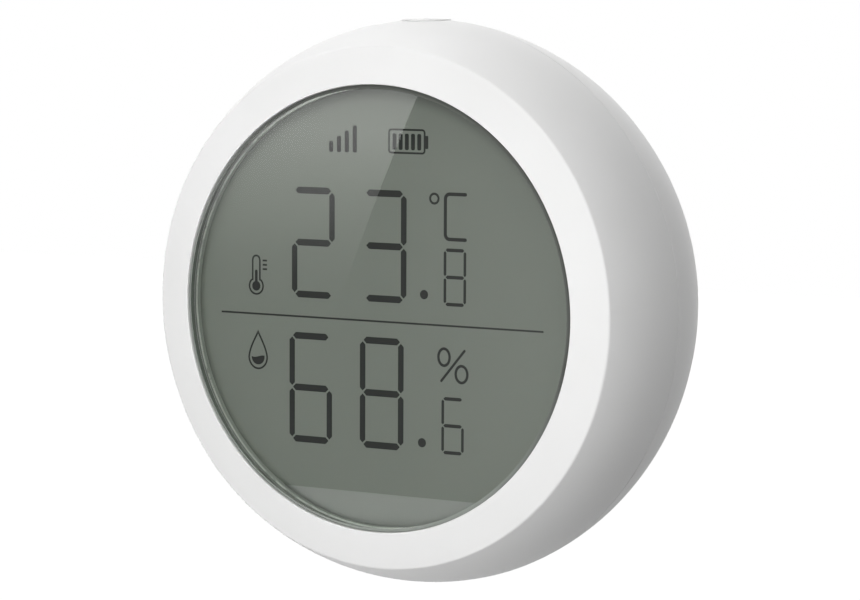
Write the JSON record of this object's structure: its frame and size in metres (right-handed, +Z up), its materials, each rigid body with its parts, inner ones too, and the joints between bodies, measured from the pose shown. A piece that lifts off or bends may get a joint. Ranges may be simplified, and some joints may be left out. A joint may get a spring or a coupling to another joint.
{
  "type": "temperature humidity sensor",
  "caption": "Round wall-held temperature and humidity sensor with a recessed display, a top button, air slots underneath and a twist-off back cover.",
  "frame": {"origin": "centre of the flat back, in the plane that lies on the wall", "axes": "+Z is up, +Y points into the wall, and the display looks along -Y"},
  "size_m": [0.066, 0.026, 0.0661],
  "materials": {
    "white_shell": "satin",
    "white_button": "satin",
    "clear_lens": "polished",
    "adhesive_film": "matte",
    "polariser": "satin",
    "display_glass": "polished",
    "reflector": "satin",
    "carrier_white": "matte",
    "connector_rubber": "matte",
    "board_green": "satin",
    "chip_black": "matte",
    "tinned_steel": "satin",
    "capacitor_can": "satin",
    "screw_steel": "satin",
    "switch_black": "matte",
    "plunger_grey": "matte",
    "sensor_white": "matte",
    "tray_white": "matte",
    "cell_wrap": "satin",
    "contact_nickel": "satin",
    "filter_mesh": "matte",
    "pad_foam": "matte"
  },
  "bodies": {
    "wall_cover": {"back_cover": "white_shell", "adhesive_pad": "pad_foam"},
    "sensor_unit": {"front_shell": "white_shell", "rear_shell": "white_shell", "display_lens": "clear_lens", "lens_adhesive": "adhesive_film", "lcd_polariser": "polariser", "lcd_front_glass": "display_glass", "lcd_rear_glass": "display_glass", "lcd_reflector": "reflector", "lcd_carrier": "carrier_white", "elastomer_connector": "connector_rubber", "main_board": "board_green", "display_driver_chip": "chip_black", "radio_module": "board_green", "radio_shield_can": "tinned_steel", "supply_capacitor": "capacitor_can", "board_screws": "screw_steel", "tray_screws": "screw_steel", "switch_housing": "switch_black", "switch_bracket": "tinned_steel", "sensor_board": "board_green", "humidity_sensor": "sensor_white", "battery_tray": "tray_white", "battery_cell_upper": "cell_wrap", "battery_cell_lower": "cell_wrap", "contact_positive": "contact_nickel", "contact_negative": "contact_nickel", "contact_link": "contact_nickel", "vent_filter": "filter_mesh"},
    "button": {"top_button": "white_button", "switch_plunger": "plunger_grey"}
  },
  "joints": [
    {"name": "unit_twist", "type": "hinge", "parent": "wall_cover", "child": "sensor_unit", "pos_m": [0, 0, 0], "axis": [0, 1, 0], "range_deg": [0, 22]},
    {"name": "button_press", "type": "slide", "parent": "sensor_unit", "child": "button", "axis": [0, 0, -1], "range_m": [0, 0.00035], "stiffness_N_per_m": 4000}
  ]
}
